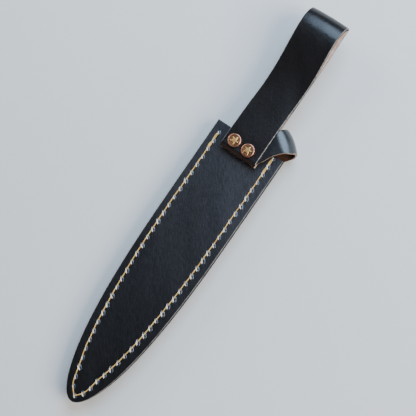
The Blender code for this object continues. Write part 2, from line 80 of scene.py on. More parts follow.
# Front panel's dome
DOME_DEPTH = 0.0072
DOME_AT_MOUTH = 0.0016
DOME_AT_TIP = 0.0030
DOME_RISE = (0.036, 0.060)
DOME_FALL = (0.150, 0.190)
DOME_SIDE = (0.0072, 0.0168)
DOME_TIP_RATIO = 1.94
WELT_INSET = 0.0080
LAYER_TRIM = 0.6 * MM
WELT_TIP_RATIO = 1.94

# Seam: inset from the edge, and the stitches on each side of the tip
SEAM_INSET = {"left": 0.0056, "right": 0.0072}
SEAM_BULGE = 0.0007
SEAM_BULGE_AT = (0.085, 0.160)
SEAM_TIP_INSET = 0.0046
SEAM_TIP_AT = (0.196, 0.221)
SEAM_START = {"left": 0.0080, "right": 0.0024}
STITCHES = {"left": 31, "right": 33}
SEAM_SAMPLES = 900
SEAM_NEAR = 8 * MM
SEAM_PULL = 0.22 * MM
SEAM_PULL_REACH = 1.5 * MM
HOLE_SCATTER = (0.10, 0.12)
# Cross-sections of the leather lifted round an awl hole: mm out from its edge, mm up
TORN_PROFILE = (
    (-0.30, -0.35), (-0.24, 0.05), (-0.10, 0.36), (0.16, 0.50), (0.44, 0.40), (0.62, 0.16),
    (0.80, -0.12),
)
LIFTED_PROFILE = (
    (-0.10, -0.35), (-0.05, 0.00), (0.04, 0.20), (0.20, 0.30), (0.48, 0.22), (0.85, 0.06),
    (1.20, -0.12),
)
AWL_SLANT = math.radians(38.0)
HOLE_LENGTH = 1.15 * MM
HOLE_WIDTH = 0.50 * MM
HOLE_DEPTH = 0.75 * MM
HOLE_SPREAD = 1.35
PIT_PROFILE = ((0.25, -0.02), (0.0, -0.30), (-0.35, -0.50))
# An awl hole opens beside the thread's corner, on the side away from the torn lip
CRATER_SHIFT = Vector((0.62, 0.10)) * MM
LIP_STEPS = 32
LIP_SIZES = (-0.16, 0.20)
LIP_TWIST = 9.0
LIP_RAGGED = 0.30
LIP_RAG_SCALE = 900
TORN_FACES = 5
TORN_TURN = 0.10
TORN_SHARE = -0.38
THREAD_RADIUS = 0.39 * MM
THREAD_SIDES = 10
THREAD_STEP = 0.30 * MM
THREAD_TWIST = 2.5 * MM
THREAD_PLY = 0.20
STITCH_DEPTH = 0.45
STITCH_LIFT = 0.67
STITCH_RAMP = 1.1 * MM
STITCH_SCATTER = 0.10
BACKSTITCHES = 2
BACKSTITCH_SHIFTS = (0.62 * MM, -0.45 * MM)

# Belt loop: an _AT is a centre and a reach, or a start and an end, above the mouth; ROUNDS are
# the radii of the upper and lower corners
LOOP_FOLD_RADIUS = 1.4 * MM
LOOP_SHOULDER = 13.5 * MM
LOOP_REACH_ON = 1.1 * MM
LOOP_REAR_LIFT = 0.8 * MM
LOOP_LEAN = 0.6 * MM
LOOP_LEAN_AT = (45 * MM, 100 * MM)
LOOP_WAIST = 0.35 * MM
LOOP_WAIST_AT = (30 * MM, 26 * MM)
LOOP_CROWN = 0.45 * MM
LOOP_CROWN_AT = (0.0, 30 * MM)
LOOP_BOW = 1.1 * MM
LOOP_BOW_AT = (52 * MM, 26 * MM)
LOOP_WAVER = 0.12 * MM
LOOP_WAVER_SCALE = 60
LOOP_RIPPLE = 0.25 * MM
LOOP_RIPPLE_SCALES = (70, 45)
LOOP_ROUNDS = (0.60 * MM, 0.2 * MM)
STRAP_SHARP = 60.0
LOOP_STEPS = {"leg": 90, "fold": 10, "shoulder": 34}
RIVET_DENT = 0.22 * MM
RIVET_DENT_REACH = 6.4 * MM
REAR_LEG_RISE = 0.0200
FRONT_LEG_RISE = 0.0040
LOOP_RISE_POWER = 2.0
SKIVE_LENGTH = 2.0 * MM
SKIVE_STEPS = 8
SKIVE_EDGE = 0.5 * MM

# Keeper strap, in its own plane: U along the strap and A across it. RIM is the run of stations
# whose near corner shows the cut edge, and BLEND two heights over the lower leg at the bend, which
# are turned into points that nothing uses.
KEEPER_HEADING = math.radians(54.7)
KEEPER_HALF_WIDTH = 0.0078
KEEPER_ACROSS = 0.0110
KEEPER_ROOT_U = -0.0116
KEEPER_ROOT_COVER = 0.0012
KEEPER_BEND_U = 0.0176
KEEPER_BEND_REACH = 0.0082
KEEPER_WAIST = 1.0 * MM
KEEPER_WAIST_AT = (11 * MM, 6 * MM)
KEEPER_FLARE = 1.9 * MM
KEEPER_FLARE_AT = (17 * MM, 25 * MM)
KEEPER_UNDER = 2.2 * MM
KEEPER_UNDER_AT = (-6 * MM, 12 * MM)
KEEPER_UNDER_TURN = (0.45, 1.15)
KEEPER_SPREAD = 0.9 * MM
KEEPER_SPREAD_AT = (9 * MM, 16 * MM)
KEEPER_RISE = 0.5 * MM
KEEPER_RISE_AT = (0.8 * MM, 8 * MM)
KEEPER_BULGE = 1.2 * MM
KEEPER_LEG_STEPS = 44
KEEPER_TURN_STEPS = 52
KEEPER_RIM = (30, 72)
KEEPER_ROUNDS = (0.5 * MM, 0.15 * MM)
KEEPER_BLEND = (6.5 * MM, 1.1 * MM)
KEEPER_TIP_U = -0.0250

# Rivet heads and the small turned parts
STAR_OUTER = 3.7 * MM
STAR_INNER = 1.55 * MM
STAR_HEIGHT = 0.26 * MM
STAR_CROWN = 0.10 * MM
STAR_TURNS = {"left": 0.35, "right": 0.10}
CAP_RADIUS = 4.9 * MM
CAP_FIELD_RADIUS = 4.2 * MM
CAP_FIELD_DEPTH = 0.42 * MM
CAP_RIM_AT = (3.9 * MM, 4.2 * MM)
CAP_RIM = 0.7 * MM
CAP_ROLL = 0.55 * MM
CAP_DIMPLE = 0.06 * MM
CAP_DIMPLE_SCALE = 5200
CAP_SKIRT = 1.35 * MM
CAP_TUBE = 1.9 * MM
CAP_CENTRE = 0.05 * MM
CAP_RINGS = 34
CAP_ROLL_STEPS = 8
CAP_SEGMENTS = 120
TURNED_SEGMENTS = 72

# Material index by place: on panels and straps, on rivet heads, and round awl holes
ON_GRAIN, ON_FLESH, ON_EDGE, ON_CORNER, ON_SKIVE = range(5)
ON_RIM, ON_STAR, ON_FIELD = range(3)
ON_TORN, ON_LIFTED, ON_PIT = range(3)

# Camera, from the middle of the mouth
CAMERA_OFFSET = Vector((0.1948, -0.0434, 0.6667))
CAMERA_BACK = Vector((0.2768, 0.0176, 0.9608))
CAMERA_UP = Vector((-0.5502, 0.8226, 0.1434))
CAMERA_LENS = 86.5
CAMERA_SENSOR = 36.0

# Staging floor, under the resting sheath
FLOOR_REACH = 3
FLOOR_DROP = 0.3 * MM

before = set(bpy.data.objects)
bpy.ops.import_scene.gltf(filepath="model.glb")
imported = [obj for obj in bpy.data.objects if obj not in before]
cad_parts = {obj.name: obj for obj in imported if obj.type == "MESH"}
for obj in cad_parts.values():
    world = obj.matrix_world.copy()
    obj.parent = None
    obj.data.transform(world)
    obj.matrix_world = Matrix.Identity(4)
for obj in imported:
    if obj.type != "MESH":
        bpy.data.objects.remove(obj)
cad_low, cad_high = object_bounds()
dice = random.Random(SEED)

back_low, back_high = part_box("back_panel")
welt_low, welt_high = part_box("welt")
loop_low, loop_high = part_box("belt_loop")
keeper_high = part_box("keeper_strap")[1]
flap_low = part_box("keeper_flap")[0]

HALF_WIDTH = back_high.x
MOUTH_Y = back_high.y
LENGTH = back_high.y - back_low.y
LEATHER = back_high.z - back_low.z
MARGIN_Z = welt_low.z - GAP - LEATHER
BACK_FACE_Z = back_high.z
SUNK_FACE_Z = BACK_FACE_Z - FACE_SINK
KEEPER_LEATHER = 0.0018


# --- Small helpers ---


def smooth(value, low, high):
    share = np.clip((value - low) / (high - low), 0.0, 1.0)
    return share * share * (3.0 - 2.0 * share)


def hill(value, centre, reach):
    return math.exp(-(((value - centre) / reach) ** 2))


def circle(centre, radius, z, steps):
    """Points round a level circle."""
    angles = [2 * math.pi * step / steps for step in range(steps)]
    return [(centre.x + radius * math.cos(a), centre.y + radius * math.sin(a), z) for a in angles]


def centre_of(node):
    """The middle of a CAD node's box, in X and Y."""
    low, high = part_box(node)
    return Vector(((low.x + high.x) / 2, (low.y + high.y) / 2))


def add_object(name, data):
    obj = bpy.data.objects.new(name, data)
    bpy.context.scene.collection.objects.link(obj)
    return obj


def make_mesh(name, vertices, faces, indices=None):
    """A mesh from points and faces, with a material index for each face if given."""
    mesh = bpy.data.meshes.new(name)
    mesh.from_pydata([tuple(point) for point in vertices], [], faces)
    if indices is not None:
        mesh.polygons.foreach_set("material_index", indices)
    return mesh


def grid_faces(rows, columns, wrap=False, offset=0):
    """Quads between the points of a grid stored row by row; wrap closes each row."""
    last = columns if wrap else columns - 1
    faces = []
    for row in range(rows - 1):
        for column in range(last):
            following = (column + 1) % columns
            a = offset + row * columns
            b = a + columns
            faces.append((a + column, a + following, b + following, b + column))
    return faces


def end_faces(rows, columns, offset=0):
    """Flat faces over the first and the last row of a grid with closed rows."""
    starts = (offset, offset + (rows - 1) * columns)
    return [tuple(range(start, start + columns)) for start in starts]


def add_piece(mesh, materials, slot, body, *nodes, fill=False, sharp=50.0):
    """Adds a visible piece: its mesh is welded, turned outwards and shaded smooth.

    fill closes its open ends, and nodes are the CAD nodes that it stands for.
    """
    work = bmesh.new()
    work.from_mesh(mesh)
    bmesh.ops.remove_doubles(work, verts=work.verts, dist=2e-6)
    bmesh.ops.dissolve_degenerate(work, edges=work.edges, dist=1e-7)
    if fill:
        edges = [edge for edge in work.edges if edge.is_boundary]
        bmesh.ops.holes_fill(work, edges=edges, sides=0)
    bmesh.ops.recalc_face_normals(work, faces=work.faces)
    work.to_mesh(mesh)
    work.free()
    mesh.shade_smooth()
    mesh.set_sharp_from_angle(angle=math.radians(sharp))
    obj = add_object(mesh.name, mesh)
    for material in materials:
        mesh.materials.append(material)
    if nodes:
        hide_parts(*nodes)
    if body:
        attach(obj, body)
    return obj


# --- Materials ---


def set_inputs(node, values):
    """Gives a node's inputs their values, or links them where a value is an output."""
    for name, value in values.items():
        if isinstance(value, bpy.types.NodeSocket):
            node.id_data.links.new(value, node.inputs[name])
        else:
            node.inputs[name].default_value = value


def set_shader(material, values):
    set_inputs(material.node_tree.nodes["Principled BSDF"], values)


def new_material(name, roughness, metallic=0.0, specular=0.5):
    material = bpy.data.materials.new(name)
    material.use_nodes = True
    values = {"Roughness": roughness, "Metallic": metallic, "Specular IOR Level": specular}
    set_shader(material, values)
    return material


def add_node(material, kind, values, **settings):
    """A new shader node: its settings come first, because they choose its inputs."""
    node = material.node_tree.nodes.new(kind)
    for name, setting in settings.items():
        setattr(node, name, setting)
    set_inputs(node, values)
    return node


def own_place(material):
    """A point's place in the piece's own coordinates, in metres."""
    return add_node(material, "ShaderNodeTexCoord", {}).outputs["Object"]


def place(material, stretch=1.0, turn=0.0):
    """The piece's own coordinates, drawn out along Y, or along Y turned about Z."""
    values = {
        "Vector": own_place(material),
        "Scale": (1.0, stretch, 1.0),
        "Rotation": (0.0, 0.0, turn),
    }
    return add_node(material, "ShaderNodeMapping", values, vector_type="TEXTURE").outputs["Vector"]


def noise_of(material, vector, scale, detail=4.0, roughness=0.55, distortion=0.0):
    values = {"Vector": vector, "Scale": scale, "Detail": detail}
    values |= {"Roughness": roughness, "Distortion": distortion}
    return add_node(material, "ShaderNodeTexNoise", values).outputs["Fac"]


def cells_of(material, vector, scale):
    values = {"Vector": vector, "Scale": scale}
    return add_node(material, "ShaderNodeTexVoronoi", values).outputs["Distance"]


def ramp(material, value, stops):
    """A value turned into colours: stops are pairs of place and colour or grey level."""
    node = add_node(material, "ShaderNodeValToRGB", {"Fac": value})
    elements = node.color_ramp.elements
    while len(elements) < len(stops):
        elements.new(0.5)
    for element, (position, color) in zip(elements, stops):
        element.position = position
        shade = (color,) * 3 if isinstance(color, float) else color
        element.color = (*shade, 1.0)
    return node.outputs["Color"]


def combine(material, first, second, operation, factor=1.0):
    """Two colours or values put together by a mix operation."""
    values = {"Factor": factor, "A": first, "B": second}
    settings = {"data_type": "RGBA", "blend_type": operation}
    return add_node(material, "ShaderNodeMix", values, **settings).outputs["Result"]


def relief(material, height, distance, strength, under=None):
    """A bump on the shader; under is a bump that this one adds to."""
    values = {"Strength": strength, "Distance": distance, "Height": height}
    if under is not None:
        values["Normal"] = under
    return add_node(material, "ShaderNodeBump", values).outputs["Normal"]


def fade_of(material, low_y, high_y):
    """0 at low_y rising to 1 at high_y, along the piece's own Y."""
    parts = add_node(material, "ShaderNodeSeparateXYZ", {"Vector": own_place(material)})
    values = {"Value": parts.outputs["Y"], "From Min": low_y, "From Max": high_y}
    return add_node(material, "ShaderNodeMapRange", values).outputs["Result"]


def grain_leather(name, dark, light, rough, coat=0.0, fade=None, streak=0.5):
    """Dyed grain leather: pebbled pores, stretch marks, rubbed patches and scratches.

    With fade, a pair of Y levels, the colour takes painted shade and the polish rises towards the
    first, and the colour takes a painted bluish sheen towards the second.
    The streaks are as strong as streak says.
    """
    material = new_material(name, roughness=0.4)
    set_shader(material, {"Coat Weight": coat, "Coat Roughness": 0.25})
    plain = place(material)
    along = place(material, 4.5, STREAK_TURN)
    scratched = place(material, 33.0, STREAK_TURN)
    patches = noise_of(material, along, 38.0, detail=5.0)
    pores = cells_of(material, plain, 1500.0)
    pebbles = noise_of(material, plain, 430.0, detail=3.0, roughness=0.6)
    creases = noise_of(material, along, 900.0, detail=6.0, roughness=0.65)
    scratches = noise_of(material, scratched, 1100.0, detail=2.0)
    marks = ramp(material, scratches, [(0.0, 0.0), (0.70, 0.0), (0.78, 0.8), (1.0, 1.0)])
    color = ramp(material, patches, [(0.3, dark), (0.72, light)])
    speckle = ramp(material, creases, [(0.36, 0.55), (0.64, 1.50)])
    color = combine(material, color, speckle, "MULTIPLY", min(1.0, 1.4 * streak))
    shine = ramp(material, patches, [(0.3, rough[0]), (0.7, rough[1])])
    shine = combine(material, shine, marks, "ADD", 0.10)
    # Painted shade towards the first level and painted sheen towards the second, multiplied into
    # the colour
    if fade:
        share = fade_of(material, *fade)
        color = combine(material, color, ramp(material, share, SHADE_AND_SHEEN_FADE), "MULTIPLY")
        shine = combine(material, shine, ramp(material, share, FADE_SHINE), "MULTIPLY")
    normal = None
    for height, distance, strength in (
        (pores, 0.05 * MM, 0.55),
        (pebbles, 0.14 * MM, 0.7),
        (creases, 0.17 * MM, streak),
        (marks, 0.05 * MM, 0.25),
    ):
        normal = relief(material, height, distance, strength, normal)
    set_shader(material, {"Base Color": color, "Roughness": shine, "Normal": normal})
    return material


def flecked(material, dark, light, patches, flecks, shades, depth, strength):
    """Uneven colour under fine flecks, which also stand up as relief."""
    color = ramp(material, patches, [(0.3, dark), (0.7, light)])
    fleck = ramp(material, flecks, [(0.3, shades[0]), (0.7, shades[1])])
    color = combine(material, color, fleck, "MULTIPLY")
    normal = relief(material, flecks, depth, strength)
    set_shader(material, {"Base Color": color, "Normal": normal})
    return material


def raw_leather(name, dark, light, fibre=0.09 * MM, blotches=160.0):
    """Flesh side or cut edge: matted fibres, uneven colour, no shine."""
    material = new_material(name, roughness=0.85, specular=0.3)
    plain = place(material)
    fibres = noise_of(material, plain, 1400.0, detail=6.0, roughness=0.7, distortion=0.6)
    patches = noise_of(material, plain, blotches, detail=5.0)
    return flecked(material, dark, light, patches, fibres, (0.62, 1.22), fibre, 0.8)


def waxed_thread(name, dark, light):
    """Gold waxed thread: fibre flecks over an uneven dye."""
    material = new_material(name, roughness=0.5)
    plain = place(material)
    flecks = noise_of(material, plain, 2600.0, detail=3.0)
    dye = noise_of(material, plain, 260.0, detail=3.0)
    return flecked(material, dark, light, dye, flecks, (0.7, 1.2), 0.05 * MM, 0.7)


def metal(name, dark, light, rough):
    """Plated metal: patches of tarnish, fine scratches, uneven polish."""
    material = new_material(name, roughness=0.3, metallic=1.0)
    plain = place(material)
    tarnish = noise_of(material, plain, 420.0, detail=5.0, roughness=0.6)
    scuffs = noise_of(material, place(material, 8.0), 2400.0, detail=3.0)
    color = ramp(material, tarnish, [(0.35, dark), (0.68, light)])
    shine = ramp(material, tarnish, [(0.3, rough[1]), (0.7, rough[0])])
    normal = relief(material, scuffs, 0.02 * MM, 0.5)
    set_shader(material, {"Base Color": color, "Roughness": shine, "Normal": normal})
    return material


def floor_material():
    material = new_material("studio_floor", roughness=0.75, specular=0.2)
    cloud = noise_of(material, place(material), 3.0, detail=2.0)
    color = ramp(material, cloud, [(0.3, (0.78, 0.78, 0.77)), (0.7, (0.82, 0.82, 0.81))])
    set_shader(material, {"Base Color": color})
    return material


STREAK_TURN = math.radians(35.0)
# Painted shade on the panel towards its tip and a painted bluish sheen towards its mouth;
# FADE_SHINE only changes roughness
SHADE_AND_SHEEN_FADE = [(0.0, (0.62, 0.53, 0.46)), (1.0, (1.65, 1.55, 1.60))]
FADE_SHINE = [(0.0, 0.80), (1.0, 1.0)]
PANEL = grain_leather(
    "panel_grain",
    (0.0050, 0.0056, 0.0074),
    (0.0090, 0.0104, 0.0140),
    (0.42, 0.54),
    fade=(-0.10, 0.09),
    streak=0.75,
)
STRAP = grain_leather(
    "strap_grain", (0.0042, 0.0032, 0.0034), (0.0076, 0.0060, 0.0066), (0.26, 0.36), streak=0.3
)
GLOSSY = grain_leather(
    "keeper_grain", (0.0034, 0.0037, 0.0048), (0.0070, 0.0078, 0.010), (0.28, 0.36), coat=0.8
)
DYED_EDGE = raw_leather("dyed_edge", (0.010, 0.009, 0.009), (0.034, 0.026, 0.021))
# Bevelled corner of the panels: raw leather where the dye is cut away, made pale grey as a painted
# highlight
BEVELLED_CORNER_HIGHLIGHT = raw_leather("bevelled_corner_painted_highlight", (0.090, 0.084, 0.080), (0.310, 0.285, 0.260), 0.04 * MM)
# Skived end of the belt loop: raw brown leather, darkened as painted shade
BROWN_EDGE_SHADED = raw_leather("brown_edge_painted_shade", (0.010, 0.006, 0.005), (0.045, 0.022, 0.013))
# Bevelled corner of the belt loop: raw fibres, made pale as a painted highlight
PALE_BEVEL_HIGHLIGHT = raw_leather(
    "pale_bevel_painted_highlight", (0.09, 0.085, 0.08), (0.62, 0.58, 0.53), 0.04 * MM, blotches=520.0
)
FLESH = raw_leather("flesh_side", (0.58, 0.40, 0.32), (0.86, 0.66, 0.56))
# Brown flesh side of the panels and keeper, its colour darkened as painted shade
BROWN_FLESH_SHADED = raw_leather("brown_flesh_painted_shade", (0.045, 0.018, 0.011), (0.105, 0.048, 0.028))
TAN_EDGE = raw_leather("tan_edge", (0.26, 0.16, 0.115), (0.52, 0.37, 0.29))
TORN_LIP = raw_leather("torn_lip", (0.72, 0.60, 0.48), (0.96, 0.92, 0.85), 0.04 * MM)
# Floor of an awl hole: reddish raw leather, darkened as painted shade
PIT_SHADE = raw_leather("awl_pit_painted_shade", (0.012, 0.005, 0.004), (0.070, 0.018, 0.012))
# Black grain lifted round the awl holes, its colour lightened to blue-grey as a painted glint
LIFTED_GLINT_GRAIN = grain_leather(
    "lifted_grain_painted_glint", (0.014, 0.020, 0.030), (0.040, 0.054, 0.078), (0.20, 0.32), coat=0.35
)
THREAD = waxed_thread("waxed_thread", (0.54, 0.29, 0.07), (0.94, 0.64, 0.22))
COPPER = metal("copper_rim", (0.44, 0.19, 0.125), (0.74, 0.36, 0.255), (0.30, 0.46))
STAR_BRASS = metal("brass_star", (0.66, 0.36, 0.12), (0.98, 0.62, 0.25), (0.34, 0.50))
OLD_BRASS = metal("brass_field", (0.09, 0.042, 0.022), (0.30, 0.155, 0.075), (0.40, 0.62))


# --- Outline and seam ---

# Places along one side: straight run in metres, then taper shares up to the tip
STRAIGHT_RUN = np.arange(1, STRAIGHT_STEPS) * (TAPER_START / STRAIGHT_STEPS)
STRAIGHT = np.array([*MOUTH_ROUNDING, *STRAIGHT_RUN[STRAIGHT_RUN > 1.2 * MM]])
TAPER = 1.0 - (1.0 - np.linspace(0.0, 1.0, TAPER_STEPS + 1)) ** TAPER_SPACING


def ring_points(inset, tip_ratio):
    """X, and distance from the mouth, of a ring inside the edge, left to right."""
    run = LENGTH - inset * tip_ratio - TAPER_START
    width = HALF_WIDTH - inset
    tapered = width * (1.0 - TAPER**TAPER_POWER) ** TAPER_ROOT
    widths = np.concatenate([np.full(len(STRAIGHT), width), tapered])
    distances = np.concatenate([STRAIGHT, TAPER_START + TAPER * run])
    x = np.concatenate([-widths, widths[-2::-1]])
    return x, np.concatenate([distances, distances[-2::-1]])


def seam_inset(side, distance):
    bulge = SEAM_BULGE * float(smooth(distance, *SEAM_BULGE_AT))
    inset = SEAM_INSET[side] + bulge
    return inset + (SEAM_TIP_INSET - inset) * float(smooth(distance, *SEAM_TIP_AT))


def seam_side(side):
    """The seam's line on one side, from the mouth to the tip."""
    sign = -1.0 if side == "left" else 1.0
    shares = 1.0 - (1.0 - np.linspace(0.0, 1.0, SEAM_SAMPLES)) ** 2
    distances = shares * LENGTH
    taper = np.clip((distances - TAPER_START) / (LENGTH - TAPER_START), 0.0, 1.0)
    widths = HALF_WIDTH * (1.0 - taper**TAPER_POWER) ** TAPER_ROOT
    line = []
    for index in range(SEAM_SAMPLES):
        before, after = max(index - 1, 0), min(index + 1, SEAM_SAMPLES - 1)
        along = Vector((widths[after] - widths[before], distances[after] - distances[before]))
        along.normalize()
        inset = seam_inset(side, distances[index])
        width = widths[index] - along.y * inset
        if width <= 0.0:
            break
        line.append(Vector((sign * width, MOUTH_Y - distances[index] - along.x * inset)))
    return line


def walk(line, start, count):
    """Points at an even pitch along a line, from a start distance to the line's end."""
    lengths = [0.0]
    for before, after in zip(line, line[1:]):
        lengths.append(lengths[-1] + (after - before).length)
    targets = np.linspace(start, lengths[-1], count + 1)
    x = np.interp(targets, lengths, [point.x for point in line])
    y = np.interp(targets, lengths, [point.y for point in line])
    return [Vector(pair) for pair in zip(x, y)]


def seam_holes():
    """Every awl hole from the left of the mouth, round the tip, to the right."""
    left = walk(seam_side("left"), SEAM_START["left"], STITCHES["left"])
    right = walk(seam_side("right"), SEAM_START["right"], STITCHES["right"])
    tip = (left[-1] + right[-1]) / 2
    holes = left[:-1] + [tip] + right[-2::-1]
    return [
        point + Vector([dice.gauss(0, spread) for spread in HOLE_SCATTER]) * MM for point in holes
    ]


HOLES = seam_holes()
SLANT = Vector((math.sin(AWL_SLANT), -math.cos(AWL_SLANT)))


def seam_dip(x, y):
    """How far the awl holes and the pull of the thread sink a face at each point."""
    centres = np.array([tuple(hole) for hole in HOLES])
    dip = np.zeros_like(x)
    for start, end in zip(centres, centres[1:]):
        near = np.abs(y - (start[1] + end[1]) / 2) < SEAM_NEAR
        px, py = x[near] - start[0], y[near] - start[1]
        run = end - start
        length = np.hypot(*run)
        share = np.clip((px * run[0] + py * run[1]) / length**2, 0.0, 1.0)
        off = np.hypot(px - run[0] * share, py - run[1] * share)
        pull = SEAM_PULL * np.exp(-((off / SEAM_PULL_REACH) ** 2))
        dip[near] = np.maximum(dip[near], pull)
    for hole in HOLES:
        centre = hole + CRATER_SHIFT
        px, py = x - centre.x, y - centre.y
        along = (px * SLANT.x + py * SLANT.y) / HOLE_LENGTH
        across = (px * SLANT.y - py * SLANT.x) / HOLE_WIDTH
        inside = np.clip(HOLE_SPREAD - np.hypot(along, across), 0.0, 1.0)
        dip = np.maximum(dip, HOLE_DEPTH * smooth(inside, 0.0, 1.0))
    return dip


def ripple(x, y, height, reach):
    """Slow waves in a sheet of leather, from smooth noise."""
    flat_x, flat_y = x.ravel(), y.ravel()
    values = [noise.noise((a / reach, b / reach, 0.5)) for a, b in zip(flat_x, flat_y)]
    return height * np.array(values).reshape(x.shape)


# --- Panels and welt ---


def mouth_round(distance, radius=0.5 * MM):
    """Drop of a face towards the mouth's edge, as a quarter round."""
    share = np.clip(1.0 - distance / radius, 0.0, 1.0)
    return radius * (1.0 - np.sqrt(1.0 - share * share))


def shell(name, rings, tip_ratio, height):
    """A closed shell from rings of (inset, side, level); height gives each ring's Z."""
    columns = []
    for inset, face, drop in rings:
        x, distance = ring_points(inset, tip_ratio)
        z = height(x, distance, inset, face, drop)
        columns.append(np.stack([x, MOUTH_Y - distance, z], axis=1))
    count = len(columns[0])
    vertices = np.concatenate(columns)
    return make_mesh(name, vertices, grid_faces(len(rings), count)), count


def panel_rings():
    """Rings from the middle of the inner face, round the edge, to the middle of the outer."""
    inner = [(HALF_WIDTH * share, "inner", 0.0) for share in (1.0, 0.8, 0.62, 0.48, 0.36, 0.24)]
    inner += [(inset * MM, "inner", 0.0) for inset in (4.0, 2.0, 0.8, 0.35)]
    edge = [
        (0.12 * MM, "inner", 0.06 * MM),
        (0.02 * MM, "inner", 0.22 * MM),
        (0.0, "inner", 0.55 * MM),
        (0.0, "middle", 0.0),
        (0.0, "outer", 0.75 * MM),
        (0.05 * MM, "outer", 0.45 * MM),
        (0.18 * MM, "outer", 0.22 * MM),
        (0.38 * MM, "outer", 0.08 * MM),
        (0.65 * MM, "outer", 0.01 * MM),
    ]
    band = list(np.arange(*PANEL_BAND))
    middle = [HALF_WIDTH * share for share in (0.45, 0.5, 0.56, 0.63, 0.71, 0.8, 0.9, 1.0)]
    outer = [(inset, "outer", 0.0) for inset in (1.0 * MM, 1.6 * MM, 2.3 * MM, *band, *middle)]
    return inner + edge + outer


def panel_indices(rings, count, trim):
    """Material of each quad: flesh inside, dyed edge, bevelled corner with a painted highlight,
    grain outside.
    """
    indices = []
    for (inset, face, drop), (_, following, _) in zip(rings, rings[1:]):
        depth = inset - trim if face == "outer" else 0.0
        if face == following == "inner" and drop < 0.2 * MM:
            index = ON_FLESH
        elif depth >= 0.3 * MM:
            index = ON_GRAIN
        else:
            index = ON_CORNER if depth > 0.0 else ON_EDGE
        indices += [index] * (count - 1)
    return indices


def build_panel(side, tip_ratio, inner_height, outer_height, thickness_sign, trim=0.0):
    """One panel from the levels of its two faces; trim draws its edge in."""
    rings = [(min(inset + trim, HALF_WIDTH), *rest) for inset, *rest in panel_rings()]

    def height(x, distance, inset, face, drop):
        y = MOUTH_Y - distance
        wave = ripple(x, y, *PANEL_WAVE)
        inner = inner_height(inset, distance) + wave
        outer = outer_height(inset, distance) + wave
        if face == "middle":
            return (inner + outer) / 2
        if face == "inner":
            return inner + thickness_sign * (drop + mouth_round(distance, 0.25 * MM))
        dip = seam_dip(x, y) if inset > 1.5 * MM else 0.0
        return outer - thickness_sign * (drop + dip + mouth_round(distance))

    mesh, count = shell(f"{side}_leather", rings, tip_ratio, height)
    mesh.polygons.foreach_set("material_index", panel_indices(rings, count, trim))
    materials = [PANEL, BROWN_FLESH_SHADED, DYED_EDGE, BEVELLED_CORNER_HIGHLIGHT]
    add_piece(mesh, materials, "panel_leather", "sheath", f"{side}_panel", fill=True)


def build_back_panel():
    build_panel(
        "back",
        1.0,
        lambda inset, distance: np.full_like(distance, back_low.z),
        lambda inset, distance: np.full_like(distance, SUNK_FACE_Z),
        1.0,
    )


def dome(inset, distance):
    depth = DOME_AT_MOUTH + (DOME_DEPTH - DOME_AT_MOUTH) * smooth(distance, *DOME_RISE)
    depth = depth - (DOME_DEPTH - DOME_AT_TIP) * smooth(distance, *DOME_FALL)
    return MARGIN_Z - depth * float(smooth(inset, *DOME_SIDE))


def build_front_panel():
    build_panel(
        "front",
        DOME_TIP_RATIO,
        lambda inset, distance: dome(inset, distance) + LEATHER,
        dome,
        -1.0,
        trim=LAYER_TRIM,
    )


def build_welt():
    """The strip between the panels: only its outer and inner edges ever show."""
    low, high = welt_low.z, welt_high.z
    lip = 0.2 * MM
    rings = [
        (WELT_INSET, low),
        (lip, low),
        (0.05 * MM, low + lip),
        (0.10 * MM, (low + high) / 2),
        (0.05 * MM, high - lip),
        (lip, high),
        (WELT_INSET, high),
        (WELT_INSET, low),
    ]
    columns = []
    for inset, z in rings:
        x, distance = ring_points(inset + LAYER_TRIM / 2, WELT_TIP_RATIO)
        wear = ripple(x, MOUTH_Y - distance, *WELT_WEAR)
        columns.append(np.stack([x + wear, MOUTH_Y - distance, np.full_like(x, z)], axis=1))
    count = len(columns[0])
    mesh = make_mesh("welt_leather", np.concatenate(columns), grid_faces(len(rings), count))
    add_piece(mesh, [DYED_EDGE], "edge_leather", "sheath", "welt", fill=True)


# --- Awl holes and thread ---


def ellipse_spot(centre, axis, angle, size, out):
    """A point around a hole's oval, moved straight out from its edge."""
    side = Vector((-axis.y, axis.x))
    ahead, aside = math.cos(angle), math.sin(angle)
    edge = (axis * ahead * HOLE_LENGTH + side * aside * HOLE_WIDTH) * size
    outward = (axis * ahead / HOLE_LENGTH + side * aside / HOLE_WIDTH).normalized()
    return centre + edge + outward * out


def lip_ring(centre, level, up, size, twist):
    """The leather lifted round one awl hole, torn pale along one side, and blue-grey with a
    painted glint round the rest.
    """
    axis = Matrix.Rotation(twist, 2) @ SLANT
    vertices, indices = [], []
    for step in range(LIP_STEPS):
        angle = 2 * math.pi * step / LIP_STEPS
        seed = (centre.x * LIP_RAG_SCALE, centre.y * LIP_RAG_SCALE, 4 * angle)
        ragged = 1.0 + LIP_RAGGED * noise.noise(seed)
        profile = TORN_PROFILE if is_torn(angle) else LIFTED_PROFILE
        for out, rise in profile:
            spot = ellipse_spot(centre, axis, angle, size, out * size * MM)
            vertices.append((*spot, level + up * rise * size * ragged * MM))
    rows = len(LIFTED_PROFILE)
    faces = grid_faces(LIP_STEPS, rows)
    last = (LIP_STEPS - 1) * rows
    for index in range(rows - 1):
        faces.append((last + index, last + index + 1, index + 1, index))
    for step in range(LIP_STEPS):
        torn = is_torn(2 * math.pi * (step + 0.5) / LIP_STEPS)
        pale = TORN_FACES if torn else 0
        indices += [ON_TORN] * pale + [ON_LIFTED] * (rows - 1 - pale)
    return vertices, faces, indices


def is_torn(angle):
    """True along the side of a hole that faces -X, and a little round its tipward end."""
    return math.sin(angle - TORN_TURN) < TORN_SHARE


